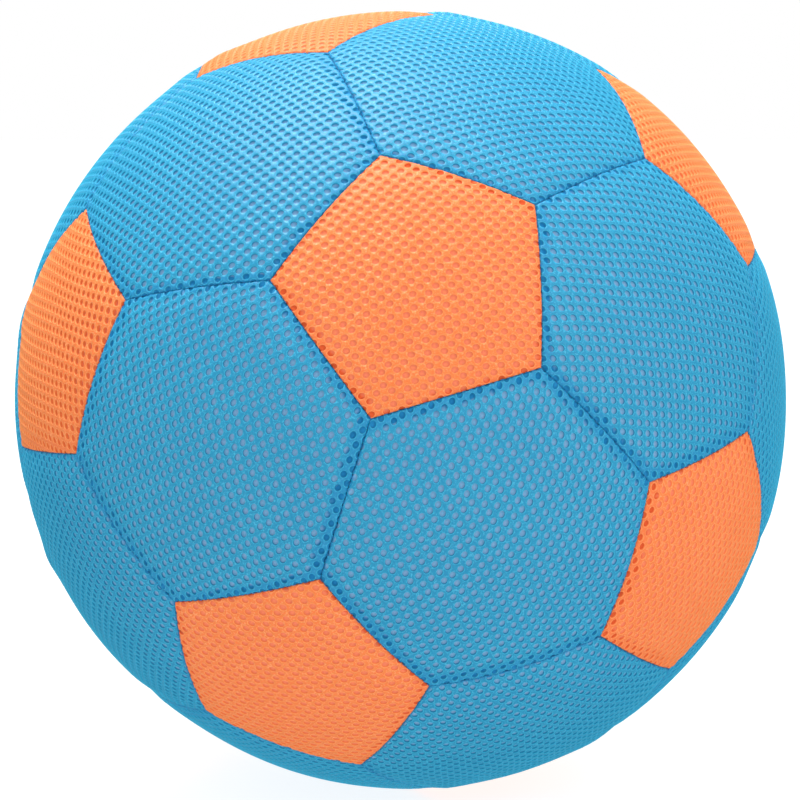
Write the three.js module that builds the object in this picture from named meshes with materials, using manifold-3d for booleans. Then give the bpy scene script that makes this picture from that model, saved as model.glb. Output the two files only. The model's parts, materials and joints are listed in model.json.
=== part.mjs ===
import * as THREE from 'three';
import * as BufferGeometryUtils from 'three/addons/utils/BufferGeometryUtils.js';
import Module from 'manifold-3d';

// Inflatable soccer ball: a sewn cover of mesh fabric over an inflated vinyl bladder, with a zip at the back.
// Millimetres, +Z up, origin at the ball's centre.

const wasm = await Module();
wasm.setup();

// Driving sizes of the cover
const ballDiameter = 350;
const fabricThickness = 2;
const seamDip = 1.2; // how far the panels' edges lie below their crown
const seamGap = 0.3;
const allowanceWidth = 5.5; // the edge that is turned in at a seam
const allowanceThickness = 2;
const allowanceStep = 0.5; // slope where the turned-in edge ends
const threadWidth = 1.2;
const threadDepth = 0.4;
const clearance = 0.3;

// How the ball lies, as turns about X, Y and Z in degrees, and the side where its zip is
const lie = [-24.6, 0.7, -29.4];
const zipSide = new THREE.Vector3(0.46, 0.89, 0);

// Bladder and valve
const bladderWall = 0.4;
const valveOffset = 28; // from the zip's middle line
const flangeRadius = 11;
const flangeThickness = 0.8;
const stemBoreRadius = 2.8;
const stemWall = 0.8;
const stemLength = 20;
const plugHeadRadius = 6.5;
const plugHeadThickness = 0.8;
const plugLength = 11;
const plugTaper = 0.3;
const strapLength = 4;
const strapRoot = 1; // how far the strap runs into the plug's head
const strapWidth = 3;
const strapThickness = 0.5;
const flapThickness = 0.5;

// Zip: a coil zip whose tapes lie under the cover's folded edges
const slotMargin = 0.4; // between the slider and the folded edges of the slot
const tapeWidth = 10.7;
const tapeThickness = 0.5;
const coilWidth = 2;
const coilHeight = 1.8;
const coilGap = 0.3; // between the two closed coils
const partingLength = 2; // in which a coil moves from closed to parted
const sewnGap = 0.2; // between the tape and what is sewn or crimped on it
const slideClearance = 0.3;
const stopInset = 7; // from the end of the zip's panel to a stop
const stopLength = 2.5;
const wingThickness = 0.8;
const topWingThickness = 0.9;
const sliderLength = 10;
const flangeWall = 0.8; // the slider's side walls
const dividerWidth = 1.6;
const dividerLength = 3.5;
const bridgeWidth = 1.8;
const bridgeLength = 7;
const bridgeThickness = 0.8;
const pullLength = 22;
const pullWidth = 5.4;
const pullThickness = 1;
const pullArm = 1.3;
const pullEyeLength = 4.5;
const pullGripRadius = 1.3;
const pullTilt = 2; // degrees, so that the tab lies near the ball's round surface

// Fineness of the shapes
const seamSegments = 4;
const bladderSegments = 28;
const roundSegments = 20;
const zipStep = 9; // mm between the sections along the zip

const crownRadius = ballDiameter / 2;
const edgeRadius = crownRadius - seamDip;
const clothRadius = crownRadius - fabricThickness;
const allowanceRadius = edgeRadius - fabricThickness - allowanceThickness;

// Materials
const fabricFinish = { roughness: 0.85, metalness: 0 };
const orangeMesh = new THREE.MeshStandardMaterial({ color: 0xff8c50, ...fabricFinish });
const blueMesh = new THREE.MeshStandardMaterial({ color: 0x37a0d2, ...fabricFinish });
const threadMaterial = new THREE.MeshStandardMaterial({ color: 0x1f5c86, roughness: 0.7 });
const vinyl = new THREE.MeshStandardMaterial({ color: 0xd9dbe6, roughness: 0.4 });
const clearVinyl = new THREE.MeshStandardMaterial({ color: 0xe6e8ec, roughness: 0.35 });
const tapeMaterial = new THREE.MeshStandardMaterial({ color: 0x2f8fc4, roughness: 0.9 });
const nylon = new THREE.MeshStandardMaterial({ color: 0x2d88ba, roughness: 0.5 });
const enamel = new THREE.MeshStandardMaterial({ color: 0x2b83b5, roughness: 0.35, metalness: 0.4 });
const nickel = new THREE.MeshStandardMaterial({ color: 0xb8bcc2, roughness: 0.3, metalness: 1 });

const ball = new THREE.Group();
ball.rotation.set(...lie.map(THREE.MathUtils.degToRad));
ball.updateMatrixWorld();

function addMesh(parent, name, geometry, material) {
  const mesh = new THREE.Mesh(geometry, material);
  mesh.name = name;
  parent.add(mesh);
  return mesh;
}

// Turns the faces out if they point in
function facingOut(geometry) {
  const index = geometry.index;
  const position = geometry.attributes.position;
  const a = new THREE.Vector3();
  const b = new THREE.Vector3();
  const c = new THREE.Vector3();
  let volume = 0;
  for (let i = 0; i < index.count; i += 3) {
    a.fromBufferAttribute(position, index.getX(i));
    b.fromBufferAttribute(position, index.getX(i + 1));
    c.fromBufferAttribute(position, index.getX(i + 2));
    volume += a.dot(b.cross(c));
  }
  if (volume < 0) {
    index.array.reverse();
  }
  return geometry;
}

// Closed body through rings of points that all have as many points, closed to a pole at each end
function loft(rings, firstPole, lastPole) {
  const size = rings[0].length;
  const points = [firstPole, ...rings.flat(), lastPole];
  const last = points.length - 1;
  const triangles = [];
  for (let i = 0; i < size; i += 1) {
    const next = (i + 1) % size;
    triangles.push(0, 1 + i, 1 + next);
    for (let ring = 0; ring < rings.length - 1; ring += 1) {
      const near = 1 + ring * size;
      const far = near + size;
      triangles.push(near + i, far + i, far + next);
      triangles.push(near + i, far + next, near + next);
    }
    const end = last - size;
    triangles.push(end + i, last, end + next);
  }
  const geometry = new THREE.BufferGeometry().setFromPoints(points);
  geometry.setIndex(triangles);
  return facingOut(geometry);
}

function centreOf(points) {
  const sum = points.reduce((total, point) => total.add(point), new THREE.Vector3());
  return sum.divideScalar(points.length);
}

function toSolid(geometry) {
  const bare = geometry.clone();
  bare.deleteAttribute('normal');
  bare.deleteAttribute('uv');
  const merged = BufferGeometryUtils.mergeVertices(bare, 1e-4);
  return new wasm.Manifold(new wasm.Mesh({
    numProp: 3,
    vertProperties: new Float32Array(merged.attributes.position.array),
    triVerts: new Uint32Array(merged.index.array),
  }));
}

function fromSolid(solid) {
  const mesh = solid.getMesh();
  const geometry = new THREE.BufferGeometry();
  geometry.setAttribute('position', new THREE.BufferAttribute(mesh.vertProperties, 3));
  geometry.setIndex(new THREE.BufferAttribute(mesh.triVerts, 1));
  return geometry;
}

// Net of the cover: pentagons at the corners of an icosahedron, hexagons on its faces
const golden = (1 + Math.sqrt(5)) / 2;
const pentagonCentres = [];
for (const one of [-1, 1]) {
  for (const long of [-golden, golden]) {
    pentagonCentres.push(new THREE.Vector3(0, one, long).normalize());
    pentagonCentres.push(new THREE.Vector3(one, long, 0).normalize());
    pentagonCentres.push(new THREE.Vector3(long, 0, one).normalize());
  }
}

function areNeighbours(i, j) {
  const cosine = pentagonCentres[i].dot(pentagonCentres[j]);
  return Math.abs(cosine - 1 / Math.sqrt(5)) < 1e-6;
}

// A seam corner lies a third of the way from one pentagon's centre to the next one's
function seamCorner(i, j) {
  const point = pentagonCentres[i].clone().multiplyScalar(2).add(pentagonCentres[j]);
  return { key: `${i}-${j}`, direction: point.normalize() };
}

// Sorts corners anticlockwise round a centre, seen from outside
function sortedRound(centre, corners) {
  const across = corners[0].direction.clone().cross(centre).normalize();
  const up = centre.clone().cross(across);
  function angle(corner) {
    return Math.atan2(corner.direction.dot(up), corner.direction.dot(across));
  }
  return [...corners].sort((a, b) => angle(a) - angle(b));
}

const evenStations = Array.from({ length: seamSegments }, (_, i) => i / seamSegments);

// A panel is its corners in order and one edge from each corner to the next
function makePanel(centre, corners) {
  const ordered = sortedRound(centre, corners);
  const edges = ordered.map((corner, i) => {
    const next = ordered[(i + 1) % ordered.length];
    const inward = corner.direction.clone().cross(next.direction).normalize();
    return { inward, setback: seamGap / 2, stations: evenStations, foldRadius: allowanceRadius };
  });
  return { centre, corners: ordered, edges };
}

const indices = pentagonCentres.map((_, i) => i);
const pentagons = indices.map((i) => {
  const corners = indices.filter((j) => areNeighbours(i, j)).map((j) => seamCorner(i, j));
  return makePanel(pentagonCentres[i], corners);
});
const hexagons = [];
for (const i of indices) {
  const beside = indices.filter((other) => other > i && areNeighbours(i, other));
  for (const j of beside) {
    for (const k of beside.filter((other) => other > j && areNeighbours(j, other))) {
      const pairs = [[i, j], [j, i], [j, k], [k, j], [k, i], [i, k]];
      const corners = pairs.map((pair) => seamCorner(...pair));
      const centre = centreOf([i, j, k].map((index) => pentagonCentres[index])).normalize();
      hexagons.push({ ...makePanel(centre, corners), around: [i, j, k] });
    }
  }
}

// Direction where two planes, each at a distance from the ball's centre, meet on the crown sphere
function meetingDirection(first, firstDistance, second, secondDistance) {
  const cosine = first.dot(second);
  const sineSquared = 1 - cosine * cosine;
  const a = (firstDistance - cosine * secondDistance) / sineSquared;
  const b = (secondDistance - cosine * firstDistance) / sineSquared;
  const inPlane = first.clone().multiplyScalar(a).addScaledVector(second, b);
  const out = first.clone().cross(second).normalize();
  const rise = Math.sqrt(crownRadius ** 2 - inPlane.lengthSq());
  return inPlane.addScaledVector(out, rise).normalize();
}

function alongArc(from, to, fraction) {
  const angle = from.angleTo(to);
  const start = from.clone().multiplyScalar(Math.sin((1 - fraction) * angle));
  return start.addScaledVector(to, Math.sin(fraction * angle)).normalize();
}

// Directions round a panel at a distance inside its edges
function ringDirections(panel, inset) {
  const count = panel.edges.length;
  const corners = panel.edges.map((edge, i) => {
    const before = panel.edges[(i + count - 1) % count];
    return meetingDirection(before.inward, before.setback + inset, edge.inward, edge.setback + inset);
  });
  return panel.edges.flatMap((edge, i) => (
    edge.stations.map((fraction) => alongArc(corners[i], corners[(i + 1) % count], fraction))
  ));
}

// Inner radius of the fold at each point of a ring. A corner takes the outer one of its two edges.
function foldRadii(panel) {
  const count = panel.edges.length;
  return panel.edges.flatMap((edge, i) => {
    const before = panel.edges[(i + count - 1) % count];
    return edge.stations.map((fraction) => (
      fraction === 0 ? Math.max(edge.foldRadius, before.foldRadius) : edge.foldRadius
    ));
  });
}

function atRadius(directions, radius) {
  return directions.map((direction) => direction.clone().multiplyScalar(radius));
}

// A crowned fabric shell whose edge is folded in on its inner side
function panelGeometry(panel) {
  const edge = ringDirections(panel, 0);
  const fold = ringDirections(panel, allowanceWidth);
  const step = ringDirections(panel, allowanceWidth + allowanceStep);
  const centre = centreOf(edge).normalize();
  const middle = step.map((direction) => alongArc(centre, direction, 0.5));
  const radii = foldRadii(panel);
  const rings = [
    atRadius(middle, crownRadius),
    atRadius(fold, crownRadius),
    atRadius(edge, edgeRadius),
    edge.map((direction, i) => direction.clone().multiplyScalar(radii[i])),
    fold.map((direction, i) => direction.clone().multiplyScalar(radii[i])),
    atRadius(step, clothRadius),
    atRadius(middle, clothRadius),
  ];
  const outerPole = centre.clone().multiplyScalar(crownRadius);
  const innerPole = centre.clone().multiplyScalar(clothRadius);
  return loft(rings, outerPole, innerPole);
}

// The hexagon at the back that carries the zip, and the zip's own directions: across, up along it and out
function facing(direction) {
  return direction.clone().applyEuler(ball.rotation);
}
const zipHexagon = hexagons.reduce((best, panel) => (
  facing(panel.centre).dot(zipSide) > facing(best.centre).dot(zipSide) ? panel : best
));
const topPentagon = zipHexagon.around.reduce((best, i) => (
  facing(pentagonCentres[i]).z > facing(pentagonCentres[best]).z ? i : best
));
const zipOut = zipHexagon.centre;
const zipAcross = pentagonCentres[topPentagon].clone().cross(zipOut).normalize();
const zipUp = zipOut.clone().cross(zipAcross);

// Panels
pentagons.forEach((panel, i) => {
  const name = `pentagon_panel_${String(i + 1).padStart(2, '0')}`;
  addMesh(ball, name, panelGeometry(panel), orangeMesh);
});
hexagons.filter((panel) => panel !== zipHexagon).forEach((panel, i) => {
  const name = `hexagon_panel_${String(i + 1).padStart(2, '0')}`;
  addMesh(ball, name, panelGeometry(panel), blueMesh);
});

// Facets cut inside a round surface, so what lies under the folds is a facet's sag further in
const seamAngle = zipHexagon.corners[0].direction.angleTo(zipHexagon.corners[1].direction);
const facetSag = allowanceRadius * (1 - Math.cos(seamAngle / seamSegments / 2));
const bladderRadius = allowanceRadius - facetSag - clearance;

// Zip, from the bladder outwards
const lowerWingRadius = bladderRadius + clearance;
const tapeRadius = lowerWingRadius + wingThickness + slideClearance;
const tapeTop = tapeRadius + tapeThickness;
const coilRadius = tapeTop + sewnGap;
const coilTop = coilRadius + coilHeight;
const upperWingRadius = coilTop + slideClearance;
const upperWingTop = upperWingRadius + topWingThickness;
const zipFoldRadius = tapeTop + clearance;

// Along the zip, in mm of arc at the tape from the middle of its panel
const zipEndAngle = Math.acos(zipOut.dot(centreOf(
  zipHexagon.corners
    .map((corner) => corner.direction)
    .sort((a, b) => b.dot(zipUp) - a.dot(zipUp))
    .slice(0, 2),
).normalize()));
const zipEnd = zipEndAngle * tapeTop;
const stopOuter = zipEnd - stopInset;
const stopInner = stopOuter - stopLength;
const coilEnd = stopInner - clearance;
const sliderRest = coilEnd - clearance - sliderLength / 2;

// Across the zip
const dividerClear = dividerWidth / 2 + slideClearance;
const partedCoil = dividerClear + coilWidth;
const channelHalfWidth = partedCoil + slideClearance;
const sliderHalfWidth = channelHalfWidth + flangeWall;
const tapeInner = dividerClear + sewnGap;
const slotEdge = sliderHalfWidth + slotMargin;

// The zip's panel is two halves, left and right of the slot
function halfPanel(side) {
  const inward = zipAcross.clone().multiplyScalar(side);
  const kept = zipHexagon.corners.filter((corner) => corner.direction.dot(inward) > 0);
  const ends = [zipEndAngle, -zipEndAngle].map((angle) => ({
    key: 'zip end',
    direction: zipOut.clone().multiplyScalar(Math.cos(angle)).addScaledVector(zipUp, Math.sin(angle)),
  }));
  const centre = centreOf(kept.map((corner) => corner.direction)).normalize();
  const panel = makePanel(centre, [...kept, ...ends]);
  panel.edges.forEach((edge, i) => {
    const next = panel.corners[(i + 1) % panel.corners.length];
    const fromZip = panel.corners[i].key === 'zip end';
    const toZip = next.key === 'zip end';
    if (fromZip && toZip) {
      const steps = Math.ceil(zipEnd / zipStep);
      edge.stations = Array.from({ length: steps }, (_, k) => k / steps);
      edge.setback = slotEdge;
      edge.foldRadius = zipFoldRadius;
    } else if (fromZip || toZip) {
      edge.stations = Array.from({ length: seamSegments / 2 }, (_, k) => 2 * k / seamSegments);
    }
  });
  return panel;
}
addMesh(ball, 'zip_panel_left', panelGeometry(halfPanel(-1)), blueMesh);
addMesh(ball, 'zip_panel_right', panelGeometry(halfPanel(1)), blueMesh);

// Seam thread: one network of V-shaped runs along every seam, lying in the dip between the panels
function threadGeometry() {
  const bottom = edgeRadius + clearance;
  const top = bottom + threadDepth;
  const triangles = [];
  const runs = new Map();
  const junctions = new Map();
  for (const panel of [...pentagons, ...hexagons]) {
    const count = panel.corners.length;
    const upper = atRadius(ringDirections(panel, threadWidth / 2 - seamGap / 2), top);
    const lower = panel.corners.flatMap((corner, i) => {
      const next = panel.corners[(i + 1) % count];
      return evenStations.map((fraction) => alongArc(corner.direction, next.direction, fraction));
    }).map((direction) => direction.multiplyScalar(bottom));
    upper.forEach((point, i) => {
      const next = (i + 1) % upper.length;
      triangles.push(point, upper[next], lower[next]);
      triangles.push(point, lower[next], lower[i]);
    });
    panel.corners.forEach((corner, i) => {
      const nextCorner = panel.corners[(i + 1) % count];
      const start = i * seamSegments;
      const run = Array.from({ length: seamSegments + 1 }, (_, k) => upper[(start + k) % upper.length]);
      const across = runs.get(`${nextCorner.key} ${corner.key}`);
      if (across) {
        for (let k = 0; k < seamSegments; k += 1) {
          const near = across[seamSegments - k];
          const far = across[seamSegments - k - 1];
          triangles.push(run[k], near, far);
          triangles.push(run[k], far, run[k + 1]);
        }
      }
      runs.set(`${corner.key} ${nextCorner.key}`, run);
      const junction = junctions.get(corner.key) ?? { direction: corner.direction, points: [] };
      junction.points.push({ direction: upper[start] });
      junctions.set(corner.key, junction);
    });
  }
  for (const { direction, points } of junctions.values()) {
    triangles.push(...sortedRound(direction, points).map((point) => point.direction));
  }
  const soup = new THREE.BufferGeometry().setFromPoints(triangles);
  return BufferGeometryUtils.mergeVertices(soup, 1e-3);
}
addMesh(ball, 'seam_thread', threadGeometry(), threadMaterial);

// The zip's own group: X across, Y up along the zip at its middle, Z out
const zip = new THREE.Group();
zip.setRotationFromMatrix(new THREE.Matrix4().makeBasis(zipAcross, zipUp, zipOut));
ball.add(zip);

function zipPoint(across, along, radius) {
  const turn = along / tapeTop;
  const lean = across / radius;
  return new THREE.Vector3(
    radius * Math.sin(lean),
    radius * Math.cos(lean) * Math.sin(turn),
    radius * Math.cos(lean) * Math.cos(turn),
  );
}

function evenSteps(from, to) {
  const count = Math.max(1, Math.ceil(Math.abs(to - from) / zipStep));
  return Array.from({ length: count + 1 }, (_, i) => from + (to - from) * i / count);
}

// A bar along the zip through sections of {across, radius} points
function zipBar(stations) {
  const rings = stations.map(({ along, section }) => (
    section.map(([across, radius]) => zipPoint(across, along, radius))
  ));
  return loft(rings, centreOf(rings[0]), centreOf(rings.at(-1)));
}

function flatSection(from, to, low, high) {
  return [[from, low], [to, low], [to, high], [from, high]];
}

function tapeGeometry(side) {
  const narrow = slotEdge - clearance;
  const wide = tapeInner + tapeWidth;
  const endOfTape = zipEnd - clearance;
  const endOfWide = zipEnd - allowanceWidth - 2 * allowanceStep - clearance;
  const spans = [
    [endOfTape, narrow],
    [endOfWide + allowanceStep, narrow],
    ...evenSteps(endOfWide, -endOfWide).map((along) => [along, wide]),
    [-endOfWide - allowanceStep, narrow],
    [-endOfTape, narrow],
  ];
  return zipBar(spans.map(([along, edge]) => ({
    along,
    section: flatSection(side * tapeInner, side * edge, tapeRadius, tapeTop),
  })));
}

// The coils are closed below the slider and part round its divider
function coilGeometry(side) {
  const dividerStart = sliderRest + sliderLength / 2 - dividerLength - clearance;
  const closed = evenSteps(-coilEnd, dividerStart - partingLength).map((along) => [along, coilGap / 2]);
  const open = evenSteps(dividerStart, coilEnd).map((along) => [along, dividerClear]);
  const middle = (coilRadius + coilTop) / 2;
  return zipBar([...closed, ...open].map(([along, inner]) => {
    const points = [
      [0, middle], [0.3, coilRadius], [0.7, coilRadius], [1, middle], [0.7, coilTop], [0.3, coilTop],
    ];
    const section = points.map(([share, radius]) => [side * (inner + share * coilWidth), radius]);
    return { along, section };
  }));
}

function stopGeometry(from, to, along) {
  const section = flatSection(from, to, coilRadius, coilTop);
  return zipBar([{ along, section }, { along: along + stopLength, section }]);
}

for (const [side, name] of [[-1, 'left'], [1, 'right']]) {
  addMesh(zip, `zip_tape_${name}`, tapeGeometry(side), tapeMaterial);
  addMesh(zip, `zip_coil_${name}`, coilGeometry(side), nylon);
  const stop = stopGeometry(side * dividerClear, side * partedCoil, stopInner);
  addMesh(zip, `zip_top_stop_${name}`, stop, nickel);
}
const bottomStop = stopGeometry(-partedCoil, partedCoil, -stopOuter);
addMesh(zip, 'zip_bottom_stop', bottomStop, nickel);

// Slider, in a frame whose Z is the radius at the slider's middle and whose Y runs up the zip
const sliderFrame = new THREE.Group();
sliderFrame.rotation.x = -sliderRest / tapeTop;
zip.add(sliderFrame);

function block(x, y, z) {
  const size = [x, y, z].map(([from, to]) => to - from);
  const middle = [x, y, z].map(([from, to]) => (from + to) / 2);
  return toSolid(new THREE.BoxGeometry(...size).translate(...middle));
}

const pivotRadius = crownRadius + clearance + pullThickness / 2;
const eyeReach = Math.hypot(pullThickness, pullThickness) / 2;
const bridgeRadius = pivotRadius + eyeReach + clearance;
const overlap = 0.1; // how far the slider's joined blocks run into each other

function sliderGeometry() {
  const halfLength = sliderLength / 2;
  const along = [-halfLength, halfLength];
  const postInner = bridgeLength / 2 - bridgeThickness;
  const bridgeX = [-bridgeWidth / 2, bridgeWidth / 2];
  const postZ = [upperWingTop - overlap, bridgeRadius + overlap];
  const flangeZ = [tapeTop + slideClearance, upperWingRadius + overlap];
  const dividerZ = [lowerWingRadius + wingThickness - overlap, upperWingRadius + overlap];
  const blocks = [
    block([-sliderHalfWidth, sliderHalfWidth], along, [lowerWingRadius, lowerWingRadius + wingThickness]),
    block([-sliderHalfWidth, sliderHalfWidth], along, [upperWingRadius, upperWingTop]),
    block([-sliderHalfWidth, -channelHalfWidth], along, flangeZ),
    block([channelHalfWidth, sliderHalfWidth], along, flangeZ),
    block([-dividerWidth / 2, dividerWidth / 2], [halfLength - dividerLength, halfLength], dividerZ),
    block(bridgeX, [-bridgeLength / 2, -postInner], postZ),
    block(bridgeX, [postInner, bridgeLength / 2], postZ),
    block(bridgeX, [-bridgeLength / 2, bridgeLength / 2], [bridgeRadius, bridgeRadius + bridgeThickness]),
  ];
  return fromSolid(blocks.reduce((whole, piece) => whole.add(piece)));
}
addMesh(sliderFrame, 'zip_slider', sliderGeometry(), enamel);

// Pull tab: hangs on the slider's bridge by the bar above its eye, and its origin is that bar's middle
function pullGeometry() {
  const outline = new THREE.Shape();
  const half = pullWidth / 2;
  const top = pullThickness / 2;
  outline.moveTo(half, top);
  outline.lineTo(-half, top);
  outline.lineTo(-half, top - pullLength + half);
  outline.absarc(0, top - pullLength + half, half, Math.PI, 2 * Math.PI, false);
  outline.lineTo(half, top);
  const eyeHalf = half - pullArm;
  const eye = new THREE.Path();
  eye.moveTo(-eyeHalf, -pullThickness / 2);
  eye.lineTo(eyeHalf, -pullThickness / 2);
  eye.lineTo(eyeHalf, -pullThickness / 2 - pullEyeLength);
  eye.lineTo(-eyeHalf, -pullThickness / 2 - pullEyeLength);
  const grip = new THREE.Path();
  grip.absarc(0, top - pullLength + half, pullGripRadius, 0, 2 * Math.PI, true);
  outline.holes.push(eye, grip);
  const options = { depth: pullThickness, bevelEnabled: false, curveSegments: 8 };
  return new THREE.ExtrudeGeometry(outline, options).translate(0, 0, -pullThickness / 2);
}
const pull = addMesh(sliderFrame, 'zip_pull', pullGeometry(), enamel);
pull.position.z = pivotRadius;
pull.rotation.x = THREE.MathUtils.degToRad(pullTilt);

// Valve, in a frame whose Z runs out through its bore, with radius from the ball's centre as height
const valveFrame = new THREE.Group();
valveFrame.rotation.y = -valveOffset / bladderRadius;
zip.add(valveFrame);

function turned(profile) {
  const points = profile.map(([radius, height]) => new THREE.Vector2(radius, height));
  return new THREE.LatheGeometry(points, roundSegments).rotateX(Math.PI / 2);
}

const stemRadius = stemBoreRadius + stemWall;
const flangeBottom = bladderRadius + clearance;
const flangeTop = flangeBottom + flangeThickness;
const stemEnd = flangeTop - stemLength;

const bodyProfile = [
  [stemBoreRadius, flangeTop],
  [flangeRadius, flangeTop],
  [flangeRadius, flangeBottom],
  [stemRadius, flangeBottom],
  [stemRadius, stemEnd],
  [stemBoreRadius, stemEnd],
  [stemBoreRadius, flangeTop],
];
addMesh(valveFrame, 'valve_body', facingOut(turned(bodyProfile)), clearVinyl);

function plugGeometry() {
  const bottom = flangeTop + clearance;
  const top = bottom + plugHeadThickness;
  const shaftRadius = stemBoreRadius - clearance;
  const profile = [
    [0, top],
    [plugHeadRadius, top],
    [plugHeadRadius, bottom],
    [shaftRadius, bottom],
    [shaftRadius - plugTaper, bottom - plugLength],
    [0, bottom - plugLength],
  ];
  const strap = block(
    [plugHeadRadius - strapRoot, plugHeadRadius + strapLength],
    [-strapWidth / 2, strapWidth / 2],
    [bottom, bottom + strapThickness],
  );
  return fromSolid(toSolid(facingOut(turned(profile))).add(strap));
}
addMesh(valveFrame, 'valve_plug', plugGeometry(), clearVinyl);

const flapTop = stemEnd - clearance;
const flapBottom = flapTop - flapThickness;
const flapProfile = [[0, flapTop], [stemRadius, flapTop], [stemRadius, flapBottom], [0, flapBottom]];
addMesh(valveFrame, 'valve_flap', facingOut(turned(flapProfile)), clearVinyl);

// Bladder: a thin round shell with a hole for the valve's stem
function bladderGeometry() {
  function globe(radius) {
    const sphere = new THREE.SphereGeometry(radius, bladderSegments, bladderSegments / 2);
    return toSolid(sphere.rotateX(Math.PI / 2));
  }
  const hole = new THREE.CylinderGeometry(
    stemRadius + clearance,
    stemRadius + clearance,
    stemLength,
    roundSegments,
  );
  const bore = toSolid(hole.rotateX(Math.PI / 2).translate(0, 0, bladderRadius));
  return fromSolid(globe(bladderRadius).subtract(globe(bladderRadius - bladderWall)).subtract(bore));
}
addMesh(valveFrame, 'bladder', bladderGeometry(), vinyl);

export default ball;
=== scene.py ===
# Inflatable ball: a sewn cover of air-mesh panels over a bladder, with a zip at the back.
import itertools
import json
import math

import bmesh
import bpy
import numpy as np
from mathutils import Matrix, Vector


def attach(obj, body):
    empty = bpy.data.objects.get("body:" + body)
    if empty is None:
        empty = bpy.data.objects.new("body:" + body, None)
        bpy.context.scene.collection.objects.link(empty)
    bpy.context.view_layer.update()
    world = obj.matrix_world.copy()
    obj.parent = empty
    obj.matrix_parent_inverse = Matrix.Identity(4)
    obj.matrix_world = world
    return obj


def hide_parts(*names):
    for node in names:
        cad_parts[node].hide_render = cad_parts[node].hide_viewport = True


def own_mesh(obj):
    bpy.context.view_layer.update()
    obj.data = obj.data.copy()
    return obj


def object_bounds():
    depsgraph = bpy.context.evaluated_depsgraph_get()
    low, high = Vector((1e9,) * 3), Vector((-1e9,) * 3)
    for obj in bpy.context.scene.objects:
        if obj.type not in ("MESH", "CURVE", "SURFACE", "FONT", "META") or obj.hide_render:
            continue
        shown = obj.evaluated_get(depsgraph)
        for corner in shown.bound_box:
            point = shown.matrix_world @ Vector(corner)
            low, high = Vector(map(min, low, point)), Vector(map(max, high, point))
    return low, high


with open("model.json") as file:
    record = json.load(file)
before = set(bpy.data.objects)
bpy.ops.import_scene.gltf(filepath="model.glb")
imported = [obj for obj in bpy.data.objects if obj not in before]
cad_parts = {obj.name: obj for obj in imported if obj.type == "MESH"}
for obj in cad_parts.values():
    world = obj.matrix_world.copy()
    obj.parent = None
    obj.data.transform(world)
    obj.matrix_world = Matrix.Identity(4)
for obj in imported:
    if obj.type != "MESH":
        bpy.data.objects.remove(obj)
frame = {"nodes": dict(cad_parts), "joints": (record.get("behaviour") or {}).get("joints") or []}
nodes = frame["nodes"]
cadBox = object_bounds()
mm = 0.001


# Shared helpers


# A piece's sizes, given in millimetres
def sizes(**given):
    return {key: tuple(v * mm for v in s) if isinstance(s, tuple) else s * mm for key, s in given.items()}


def valuesOf(collection, label, width, kind=np.float32):
    values = np.empty(len(collection) * width, kind)
    collection.foreach_get(label, values)
    return values.reshape(-1, width) if width > 1 else values


def storeValues(mesh, label, kind, values):
    layer = mesh.attributes.new(label, kind, "POINT")
    layer.data.foreach_set("vector" if kind == "FLOAT_VECTOR" else "value", values.astype(np.float32).ravel())


def nodePoints(name):
    return valuesOf(nodes[name].data.vertices, "co", 3).astype(float)


def unit(vectors):
    vectors = np.asarray(vectors, float)
    return vectors / np.linalg.norm(vectors, axis=-1, keepdims=True)


def newTree(name, sockets):
    tree = bpy.data.node_groups.new(name, "GeometryNodeTree")
    for label, kind in sockets:
        tree.interface.new_socket(label, in_out="INPUT", socket_type=f"NodeSocket{kind}")
    tree.interface.new_socket("Geometry", in_out="OUTPUT", socket_type="NodeSocketGeometry")
    return tree, tree.nodes.new("NodeGroupInput"), tree.nodes.new("NodeGroupOutput")


# Each input gets a link from another node's socket, or from its first output, or a plain value
def setInputs(tree, node, inputs):
    for key, value in inputs.items():
        if isinstance(value, bpy.types.Node):
            value = value.outputs[0]
        if isinstance(value, bpy.types.NodeSocket):
            tree.links.new(value, node.inputs[key])
        else:
            node.inputs[key].default_value = value


def addNode(tree, kind, inputs=None, **settings):
    node = tree.nodes.new(kind)
    for key, value in settings.items():
        setattr(node, key, value)
    setInputs(tree, node, inputs or {})
    return node


def mathNode(tree, operation, *values):
    return addNode(tree, "ShaderNodeMath", dict(enumerate(values)), operation=operation).outputs[0]


def addObject(name, mesh):
    made = bpy.data.objects.new(name, mesh)
    bpy.context.scene.collection.objects.link(made)
    return made


# Says which body a piece moves with and which node it stands for
def dress(made, body, node):
    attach(made, body)
    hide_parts(node)
    return made


# Runs a tree on an object and returns the result as a plain mesh
def grown(obj, tree, values):
    modifier = obj.modifiers.new(tree.name, "NODES")
    modifier.node_group = tree
    for item in tree.interface.items_tree:
        if item.item_type == "SOCKET" and item.in_out == "INPUT" and item.name in values:
            modifier[item.identifier] = values[item.name]
    graph = bpy.context.evaluated_depsgraph_get()
    mesh = bpy.data.meshes.new_from_object(obj.evaluated_get(graph), depsgraph=graph)
    obj.modifiers.remove(modifier)
    return mesh


# Camera: the photograph's view, from a little above, with a long lens
view = {"distance": 1.2985, "elevation": 8, "lens": 128.3, "shift": (-0.003, 0.0001)}
camera = addObject("camera", bpy.data.cameras.new("camera"))
tilt = math.radians(view["elevation"])
camera.location = (0, -view["distance"] * math.cos(tilt), view["distance"] * math.sin(tilt))
camera.rotation_euler = (math.pi / 2 - tilt, 0, 0)
camera.data.lens = view["lens"]
camera.data.sensor_width = 36
camera.data.shift_x, camera.data.shift_y = view["shift"]
bpy.context.scene.camera = camera
bpy.context.scene.view_settings.view_transform = "Standard"
print("camera set")


# Materials


def newMaterial(name):
    material = bpy.data.materials.new(name)
    material.use_nodes = True
    tree = material.node_tree
    return material, tree, tree.nodes["Principled BSDF"]


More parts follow.
